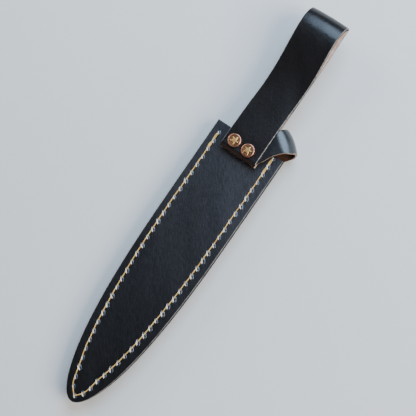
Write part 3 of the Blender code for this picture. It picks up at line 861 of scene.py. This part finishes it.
def pit_bowl(centre, level, up, size, first):
    """The floor of one awl hole, a shallow bowl under its lip, coloured dark as painted shade."""
    vertices, faces = [], []
    for out, depth in PIT_PROFILE:
        for step in range(LIP_STEPS):
            angle = 2 * math.pi * step / LIP_STEPS
            spot = ellipse_spot(centre, SLANT, angle, size, out * MM)
            vertices.append((*spot, level + up * depth * MM))
    faces += grid_faces(len(PIT_PROFILE), LIP_STEPS, wrap=True, offset=first)
    inner = first + (len(PIT_PROFILE) - 1) * LIP_STEPS
    faces.append(tuple(range(inner, inner + LIP_STEPS)))
    return vertices, faces


def build_holes(name, level, up):
    """Lips and pits of every awl hole on one face."""
    vertices, faces, indices = [], [], []
    for hole in HOLES:
        size = 1.0 + dice.uniform(*LIP_SIZES)
        twist = math.radians(dice.gauss(0.0, LIP_TWIST))
        centre = hole + CRATER_SHIFT
        points, quads, kinds = lip_ring(centre, level, up, size, twist)
        first = len(vertices)
        vertices += points
        faces += [tuple(first + index for index in quad) for quad in quads]
        indices += kinds
        points, quads = pit_bowl(centre, level, up, size, len(vertices))
        vertices += points
        faces += quads
        indices += [ON_PIT] * len(quads)
    mesh = make_mesh(name, vertices, faces, indices)
    # The lifted grain carries a painted glint, and the pits carry painted shade
    add_piece(mesh, [TORN_LIP, LIFTED_GLINT_GRAIN, PIT_SHADE], "panel_leather", "sheath")


def stitch_path(start, end, level, up, shift=0.0):
    """One stitch from hole to hole: it leaves the pit, lies on the leather and dips again."""
    run = end - start
    across = Vector((run.y, -run.x)).normalized()
    count = max(6, round(run.length / THREAD_STEP))
    path = []
    for index in range(count):
        share = index / count
        reach = min(share, 1.0 - share) * run.length
        rise = float(smooth(reach, 0.0, STITCH_RAMP))
        spot = start + run * share + across * shift * math.sin(math.pi * share)
        height = level + up * MM * (STITCH_LIFT * rise - STITCH_DEPTH)
        path.append(Vector((*spot, height)))
    return path


def thread_tube(path, first):
    """A two-ply twisted thread swept along a path, with closed ends."""
    vertices, faces = [], []
    travelled = 0.0
    last = len(path) - 1
    for index, spot in enumerate(path):
        along = (path[min(index + 1, last)] - path[max(index - 1, 0)]).normalized()
        side = along.cross(Vector((0.0, 0.0, 1.0))).normalized()
        upward = side.cross(along)
        if index:
            travelled += (spot - path[index - 1]).length
        phase = 2 * math.pi * travelled / THREAD_TWIST
        for corner in range(THREAD_SIDES):
            angle = 2 * math.pi * corner / THREAD_SIDES
            ply = THREAD_RADIUS * (1.0 + THREAD_PLY * math.cos(2 * angle - 2 * phase))
            offset = side * math.cos(angle) + upward * math.sin(angle)
            vertices.append(spot + offset * ply)
    faces += grid_faces(len(path), THREAD_SIDES, wrap=True, offset=first)
    faces += end_faces(len(path), THREAD_SIDES, first)
    return vertices, faces


def build_thread(name, level, up, node):
    """The whole seam on one face, with the doubled backstitches at the mouth."""
    vertices, faces = [], []

    def add_run(path):
        points, quads = thread_tube(path, len(vertices))
        vertices.extend(points)
        faces.extend(quads)

    path = []
    for start, end in zip(HOLES, HOLES[1:]):
        path += stitch_path(start, end, level, up, dice.gauss(0.0, STITCH_SCATTER) * MM)
    path.append(Vector((*HOLES[-1], level - up * STITCH_DEPTH * MM)))
    add_run(path)
    for row in (HOLES[: BACKSTITCHES + 1], HOLES[: -BACKSTITCHES - 2 : -1]):
        for start, end in zip(row, row[1:]):
            for shift in BACKSTITCH_SHIFTS:
                add_run(stitch_path(start, end, level, up, shift))
    mesh = make_mesh(name, vertices, faces)
    add_piece(mesh, [THREAD], "thread", "sheath", node, sharp=70.0)


# --- Straps ---


def strap_section(half_width, thickness, top_round, bottom_round, steps=20):
    """Upper and lower lines of a strap's cross-section, left to right, with soft corners."""
    inner = half_width - max(top_round, bottom_round)

    def line(radius, sign):
        left = []
        for angle in map(math.radians, (0, 25, 50, 75)):
            x = -half_width + radius * (1.0 - math.cos(angle))
            left.append((x, sign * (thickness / 2 - radius * (1.0 - math.sin(angle)))))
        flat = [
            (inner * math.sin(math.pi * (step / steps - 0.5)), sign * thickness / 2)
            for step in range(steps + 1)
        ]
        return left + flat + [(-x, z) for x, z in reversed(left)]

    return line(top_round, 1.0), line(bottom_round, -1.0)


def strap_mesh(name, stations, section, spot, kinds):
    """A strap swept over its stations; spot gives the place of a station's corner point."""
    top, bottom = section
    loop = top + bottom[::-1]
    count = len(loop)
    half = len(top)
    vertices = [spot(station, x, z) for station in range(stations) for x, z in loop]
    faces = grid_faces(stations, count, wrap=True)
    indices = [kinds(row, index, half) for row in range(stations - 1) for index in range(count)]
    for first in (0, (stations - 1) * count):
        for index in range(half - 1):
            a, b = first + index, first + index + 1
            c, d = first + count - 2 - index, first + count - 1 - index
            faces.append((a, b, c, d))
            indices.append(ON_EDGE)
    return make_mesh(name, vertices, faces, indices)


def strap_kinds(index, half):
    """Material of each face round a strap: grain, flesh, cut edge or bevelled corner, which is a
    painted highlight on the belt loop.
    """
    position = index % half
    corner = position in (0, 1, half - 3, half - 2)
    if position == half - 1:
        return ON_EDGE
    if index < half:
        return ON_CORNER if corner else ON_GRAIN
    return ON_FLESH


def loop_line():
    """The belt loop's middle line in Y and Z: rear leg, fold, round shoulder, front leg."""
    middle = LEATHER / 2
    peak = loop_high.z - middle
    front_z = keeper_high.z + GAP + middle
    rear_z = loop_low.z + middle
    rear_top = rear_z + LOOP_REAR_LIFT
    fold_y = loop_high.y - middle + LOOP_REACH_ON
    fold_z = rear_top + LOOP_FOLD_RADIUS
    start = loop_low.y

    def leg(low_z, high_z, rise_start, rise_end, power):
        skive = start + np.linspace(0.0, SKIVE_LENGTH, SKIVE_STEPS, endpoint=False)
        line = []
        for y in [*skive, *np.linspace(start + SKIVE_LENGTH, rise_end, LOOP_STEPS["leg"])]:
            share = min(1.0, max(0.0, (y - rise_start) / (rise_end - rise_start)))
            lift = (1.0 - math.cos(math.pi * share**power)) / 2
            line.append(Vector((y, low_z + (high_z - low_z) * lift)))
        return line

    def arc(angles, reach, rise):
        return [
            Vector((fold_y - reach * (1.0 - math.cos(angle)), fold_z + rise * math.sin(angle)))
            for angle in angles
        ]

    shoulder_y = fold_y - LOOP_SHOULDER
    rear = leg(rear_z, rear_top, MOUTH_Y + REAR_LEG_RISE, fold_y - LOOP_FOLD_RADIUS, 1.0)
    front = leg(front_z, peak, MOUTH_Y + FRONT_LEG_RISE, shoulder_y, LOOP_RISE_POWER)
    quarter = math.pi / 2
    fold_angles = np.linspace(-quarter, 0.0, LOOP_STEPS["fold"])[1:-1]
    fold = arc(fold_angles, LOOP_FOLD_RADIUS, LOOP_FOLD_RADIUS)
    shoulder_angles = np.linspace(0.0, quarter, LOOP_STEPS["shoulder"])[:-1]
    shoulder = arc(shoulder_angles, LOOP_SHOULDER, peak - fold_z)
    return rear + fold + shoulder + front[::-1]


def line_normals(line):
    """Unit normals to the left of a line of points in a plane."""
    last = len(line) - 1
    normals = []
    for index in range(len(line)):
        along = line[min(index + 1, last)] - line[max(index - 1, 0)]
        normals.append(Vector((-along.y, along.x)).normalized())
    return normals


def build_belt_loop():
    """The strap folded over at its top; the front leg's end is cut on a slope."""
    line = loop_line()
    normals = line_normals(line)
    rivets = [centre_of(f"rivet_cap_{side}") for side in SIDES]
    half_width = loop_high.x
    last = len(line) - 1

    def spot(station, x, z):
        middle = line[station]
        seed = (middle.x * LOOP_WAVER_SCALE, math.copysign(3.0, x), middle.y * LOOP_WAVER_SCALE)
        waver = LOOP_WAVER * noise.noise(seed)
        above = middle.x - MOUTH_Y
        waist = LOOP_WAIST * hill(above, *LOOP_WAIST_AT)
        x = x * (1.0 - waist / half_width) + waver * abs(x) / half_width
        x -= LOOP_LEAN * float(smooth(above, *LOOP_LEAN_AT))
        across, along = LOOP_RIPPLE_SCALES
        depth = -z + LOOP_RIPPLE * noise.noise((x * across, middle.x * along, 7.0))
        depth += LOOP_CROWN * (x / half_width) ** 2 * float(smooth(above, *LOOP_CROWN_AT))
        if station > last / 2:
            x += LOOP_BOW * hill(above, *LOOP_BOW_AT)
        if station > last / 2 and z > 0.0:
            for rivet in rivets:
                away = math.hypot(x - rivet.x, middle.x - rivet.y)
                depth += RIVET_DENT * math.exp(-((away / RIVET_DENT_REACH) ** 4))
            cut = max(0.0, 1.0 - (last - station) / SKIVE_STEPS)
            depth += (LEATHER - SKIVE_EDGE) * cut
        point = middle + normals[station] * depth
        return (x, point.x, point.y)

    def kinds(station, index, half):
        skived = station >= last - SKIVE_STEPS and index < half - 1
        return ON_SKIVE if skived else strap_kinds(index, half)

    section = strap_section(half_width, LEATHER, *LOOP_ROUNDS, steps=24)
    mesh = strap_mesh("belt_strap", len(line), section, spot, kinds)
    # The corner colour is a painted highlight, and the skived end's brown is darkened with painted
    # shade
    materials = [STRAP, FLESH, DYED_EDGE, PALE_BEVEL_HIGHLIGHT, BROWN_EDGE_SHADED]
    add_piece(mesh, materials, "strap_leather", "sheath", "belt_loop", sharp=STRAP_SHARP)


def keeper_world(u, a, z):
    """A point in the keeper strap's own plane, as a place in the frame."""
    x = u * math.cos(KEEPER_HEADING) + a * math.sin(KEEPER_HEADING)
    y = u * math.sin(KEEPER_HEADING) - a * math.cos(KEEPER_HEADING)
    return (x, MOUTH_Y + y, z)


def keeper_flare(u, across, turned_share):
    """How far a side moves towards the tip of the sheath; turned_share is 1 under the bend."""
    near = float(smooth(-across, 0.0, KEEPER_HALF_WIDTH))
    far = float(smooth(across, 0.0, KEEPER_HALF_WIDTH))
    waist = KEEPER_WAIST * hill(u, *KEEPER_WAIST_AT)
    waist *= 1.0 - float(smooth(turned_share, 0.0, 0.5))
    flare = KEEPER_FLARE * float(smooth(u, *KEEPER_FLARE_AT))
    under = KEEPER_UNDER * float(smooth(turned_share, *KEEPER_UNDER_TURN))
    under *= float(smooth(u, *KEEPER_UNDER_AT))
    spread = KEEPER_SPREAD * float(smooth(u, *KEEPER_SPREAD_AT))
    return near * (flare + under - waist) - far * spread


def keeper_rise(u, a):
    """How far the strap lifts once it is clear of the belt loop's edge."""
    clear = keeper_world(u, a, 0.0)[0] - loop_high.x
    return KEEPER_RISE * float(smooth(clear, *KEEPER_RISE_AT))


def build_keeper():
    """One strap from the rivet, round the bend and under to its round tip.

    Its root is cut square to the belt loop, and both of its ends follow their cut lines.
    """
    middle = KEEPER_LEATHER / 2
    upper = keeper_high.z - middle
    lower = flap_low.z + middle
    legs, turns = KEEPER_LEG_STEPS, KEEPER_TURN_STEPS
    cut_y = loop_low.y + KEEPER_ROOT_COVER - MOUTH_Y

    def root(a):
        cut = (cut_y + a * math.cos(KEEPER_HEADING)) / math.sin(KEEPER_HEADING)
        return max(KEEPER_ROOT_U, cut)

    def tip(across):
        side = KEEPER_HALF_WIDTH
        return KEEPER_TIP_U + side - math.sqrt(max(0.0, side * side - across * across))

    def spot(station, across, z):
        a = KEEPER_ACROSS - across
        if station < legs:
            start = root(a)
            u = start + (KEEPER_BEND_U - start) * station / legs
            flare = keeper_flare(u, across, 0.0)
            return keeper_world(u, a + flare, upper + z + keeper_rise(u, a))
        if station <= legs + turns:
            height = (upper + keeper_rise(KEEPER_BEND_U, a) - lower) / 2
            centre = Vector((KEEPER_BEND_U, lower + height))
            angle = math.pi / 2 - math.pi * (station - legs) / turns
            direction = Vector((math.cos(angle), math.sin(angle)))
            reach = KEEPER_BEND_REACH + KEEPER_BULGE * (1.0 - (across / KEEPER_HALF_WIDTH) ** 2)
            place_on = Vector((direction.x * reach, direction.y * height))
            normal = Vector((direction.x / reach, direction.y / height)).normalized()
            point = centre + place_on + normal * z
            flare = keeper_flare(point.x, across, (station - legs) / turns)
            return keeper_world(point.x, a + flare, point.y)
        share = (station - legs - turns) / legs
        u = KEEPER_BEND_U + (tip(across) - KEEPER_BEND_U) * share
        return keeper_world(u, a + keeper_flare(u, across, 1.0), lower - z)

    def kinds(station, index, half):
        rim = KEEPER_RIM[0] <= station <= KEEPER_RIM[1] and index < 2
        return ON_EDGE if rim else strap_kinds(index, half)

    section = strap_section(KEEPER_HALF_WIDTH, KEEPER_LEATHER, *KEEPER_ROUNDS)
    mesh = strap_mesh("keeper_leather", 2 * legs + turns + 1, section, spot, kinds)
    # The flesh side under the bend is darkened with painted shade
    materials = [GLOSSY, BROWN_FLESH_SHADED, TAN_EDGE, GLOSSY]
    nodes = ("keeper_strap", "keeper_flap")
    keeper = add_piece(mesh, materials, "keeper_leather", None, *nodes, sharp=STRAP_SHARP)
    start, end = [
        keeper_world(KEEPER_BEND_U, KEEPER_ACROSS, lower + rise) for rise in KEEPER_BLEND
    ]
    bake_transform(keeper)
    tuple(start)
    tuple(end)


# --- Rivets and snap ---


def star_distance(radius, angle):
    """Signed distance to a five-pointed star's outline, positive inside it."""
    fold = abs((math.pi / 2 - angle) % (2 * math.pi / 5) - math.pi / 5)
    point = Vector((radius * math.cos(fold), radius * math.sin(fold)))
    valley = Vector((STAR_INNER, 0.0))
    peak = Vector((math.cos(math.pi / 5), math.sin(math.pi / 5))) * STAR_OUTER
    edge = peak - valley
    normal = Vector((edge.y, -edge.x)).normalized()
    return -(point - valley).dot(normal)


def rivet_face(radius, step, star_turn):
    """Height of a rivet head over its field at a place round it, and the material there."""
    angle = 2 * math.pi * step / CAP_SEGMENTS
    x, y = radius * math.cos(angle), radius * math.sin(angle)
    inside = star_distance(radius, angle + star_turn)
    star = float(smooth(inside, -0.12 * MM, 0.28 * MM))
    rim = float(smooth(radius, *CAP_RIM_AT))
    dots = math.sin(x * CAP_DIMPLE_SCALE) * math.sin(y * CAP_DIMPLE_SCALE)
    field = CAP_DIMPLE * dots * (1.0 - star) * (1.0 - rim)
    crown = STAR_CROWN * star * (1.0 - radius / (4 * MM))
    height = STAR_HEIGHT * star + CAP_FIELD_DEPTH * rim + field + crown
    kind = ON_RIM if rim > 0.5 else ON_STAR if star > 0.45 else ON_FIELD
    return height, kind


def build_rivet_cap(side):
    """A hollow rivet cap: round rim, sunken dimpled field and a raised plain star."""
    low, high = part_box(f"rivet_cap_{side}")
    centre = centre_of(f"rivet_cap_{side}")
    star_turn = STAR_TURNS[side]
    field = high.z - CAP_FIELD_DEPTH
    base = high.z - CAP_SKIRT
    segments = CAP_SEGMENTS
    flat = np.linspace(CAP_CENTRE, CAP_FIELD_RADIUS, CAP_RINGS + 1)
    vertices, indices = [], []
    for radius in flat:
        for step, (x, y, z) in enumerate(circle(centre, radius, field, segments)):
            vertices.append((x, y, z + rivet_face(radius, step, star_turn)[0]))
    rolled = []
    for step in range(1, CAP_ROLL_STEPS + 1):
        angle = math.pi / 2 * step / CAP_ROLL_STEPS
        out = CAP_FIELD_RADIUS + CAP_RIM * math.sin(angle)
        rolled.append((min(out, CAP_RADIUS), high.z - CAP_ROLL * (1.0 - math.cos(angle))))
    skirt = rolled + [(CAP_RADIUS, base + 0.1 * MM), (CAP_RADIUS - 0.1 * MM, base)]
    skirt += [(CAP_TUBE, base), (CAP_TUBE, low.z)]
    for radius, z in skirt:
        vertices += circle(centre, radius, z, segments)
    for before, after in zip(flat, flat[1:]):
        for step in range(segments):
            indices.append(rivet_face((before + after) / 2, step + 0.5, star_turn)[1])
    indices += [ON_RIM] * (len(skirt) * segments) + [ON_STAR, ON_RIM]
    rows = len(flat) + len(skirt)
    faces = grid_faces(rows, segments, wrap=True)
    faces += end_faces(rows, segments)
    mesh = make_mesh(f"rivet_head_{side}", vertices, faces, indices)
    add_piece(mesh, [COPPER, STAR_BRASS, OLD_BRASS], "copper", "sheath", f"rivet_cap_{side}")


def turned(name, profile, centre, material, slot, body, node):
    """A small turned part from its profile of radius and height, top to bottom, in mm."""
    segments = TURNED_SEGMENTS
    vertices = []
    for radius, z in profile:
        vertices += circle(centre, max(radius, 0.02) * MM, z * MM, segments)
    rows = len(profile)
    faces = grid_faces(rows, segments, wrap=True)
    if profile[0] != profile[-1]:
        faces += end_faces(rows, segments)
    mesh = make_mesh(name, vertices, faces)
    add_piece(mesh, [material], slot, body, node, sharp=35.0)


def build_small_metal():
    """Rivet posts, and the snap's cap, socket, stud and eyelet, each with soft corners."""
    for side in SIDES:
        post = f"rivet_post_{side}"
        low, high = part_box(post)
        bottom, top = low.z / MM, high.z / MM
        profile = [(0, top), (0.7, top), (0.9, top - 0.2), (0.9, bottom + 0.7)]
        profile += [(3.9, bottom + 0.7), (4.2, bottom + 0.5), (4.2, bottom + 0.15)]
        profile += [(4.05, bottom), (0, bottom)]
        centre = centre_of(post)
        turned(f"rivet_base_{side}", profile, centre, OLD_BRASS, "brass", "sheath", post)
    snap = centre_of("snap_cap")
    cap = [(0, 3.6), (1.5, 3.6), (1.7, 3.4), (1.7, 1.05), (5.8, 1.05), (6.1, 0.95), (6.2, 0.75)]
    cap += [(6.15, 0.5), (5.7, 0.28), (5.0, 0.16), (4.4, 0.12), (4.2, 0.22), (4.0, 0.22)]
    cap += [(3.8, 0.08), (2.5, 0.02), (0, 0.0)]
    turned("snap_cap_dome", cap, snap, COPPER, "copper", "flap", "snap_cap")
    socket = [(3.4, 4.55), (3.55, 4.7), (5.5, 4.7), (5.75, 4.55), (5.8, 4.3), (5.8, 3.35)]
    socket += [(5.65, 3.2), (2.1, 3.2), (2.1, 3.7), (3.4, 3.7), (3.4, 4.55)]
    turned("snap_socket_ring", socket, snap, OLD_BRASS, "brass", "flap", "snap_socket")
    stud = [(1.7, 5.3), (4.6, 5.3), (4.8, 5.2), (4.8, 5.0), (4.6, 4.9), (2.6, 4.72), (2.4, 4.6)]
    stud += [(2.65, 4.38), (2.68, 4.2), (2.5, 4.04), (2.2, 4.0), (0, 4.0), (0, 4.5), (1.7, 4.5)]
    stud += [(1.7, 5.3)]
    turned("snap_stud_post", stud, snap, OLD_BRASS, "brass", "sheath", "snap_stud")
    low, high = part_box("snap_eyelet")
    bottom, top = low.z / MM, high.z / MM
    eyelet = [(0, top), (3.8, top), (4.0, top - 0.2), (4.0, top - 0.6), (1.2, top - 0.6)]
    eyelet += [(1.2, bottom), (0, bottom)]
    turned("snap_eyelet_pin", eyelet, snap, OLD_BRASS, "brass", "sheath", "snap_eyelet")


# --- Stage ---


def build_floor():
    reach = FLOOR_REACH
    corners = [(-reach, -reach, 0), (reach, -reach, 0), (reach, reach, 0), (-reach, reach, 0)]
    mesh = make_mesh("floor", corners, [(0, 1, 2, 3)])
    floor = add_object("floor", mesh)
    floor.location.z = cad_low.z - FLOOR_DROP
    mesh.materials.append(floor_material())


def add_light(name, direction, distance, size, power, color):
    """A soft square light that faces the sheath from a direction."""
    data = bpy.data.lights.new(name, "AREA")
    data.size = size
    data.energy = power
    data.color = color
    light = add_object(name, data)
    way = Vector(direction).normalized()
    light.location = way * distance
    light.rotation_euler = way.to_track_quat("Z", "Y").to_euler()


def build_lights():
    add_light("sky_far", (0.02, 0.80, 0.85), 1.3, 0.9, 21.0, (0.55, 0.75, 1.0))
    add_light("sky_side", (0.52, 0.90, 0.26), 1.3, 0.55, 1.5, (0.70, 0.86, 1.0))
    add_light("key", (1.0, 0.35, 0.85), 1.7, 0.9, 32.0, (1.0, 0.95, 0.89))
    add_light("fill", (-1.0, 0.25, 0.60), 1.7, 0.8, 10.0, (1.0, 0.97, 0.94))
    world = bpy.data.worlds.new("studio")
    world.use_nodes = True
    background = world.node_tree.nodes["Background"]
    background.inputs["Color"].default_value = (0.82, 0.90, 1.0, 1.0)
    background.inputs["Strength"].default_value = 0.08
    bpy.context.scene.world = world


def build_camera():
    data = bpy.data.cameras.new("camera")
    data.lens = CAMERA_LENS
    data.sensor_width = CAMERA_SENSOR
    data.clip_start = 0.01
    camera = add_object("camera", data)
    back = CAMERA_BACK.normalized()
    right = CAMERA_UP.cross(back).normalized()
    up = back.cross(right)
    turn = Matrix((right, up, back)).transposed()
    place_at = Vector((0.0, MOUTH_Y, BACK_FACE_Z)) + CAMERA_OFFSET
    camera.matrix_world = Matrix.Translation(place_at) @ turn.to_4x4()
    bpy.context.scene.camera = camera


build_camera()
build_back_panel()
build_front_panel()
build_welt()
build_holes("awl_holes_back", SUNK_FACE_Z, 1.0)
build_holes("awl_holes_front", MARGIN_Z, -1.0)
build_thread("seam_thread_upper", SUNK_FACE_Z, 1.0, "seam_thread_back")
build_thread("seam_thread_lower", MARGIN_Z, -1.0, "seam_thread_front")
build_belt_loop()
build_keeper()
for side in SIDES:
    build_rivet_cap(side)
build_small_metal()
build_floor()
build_lights()
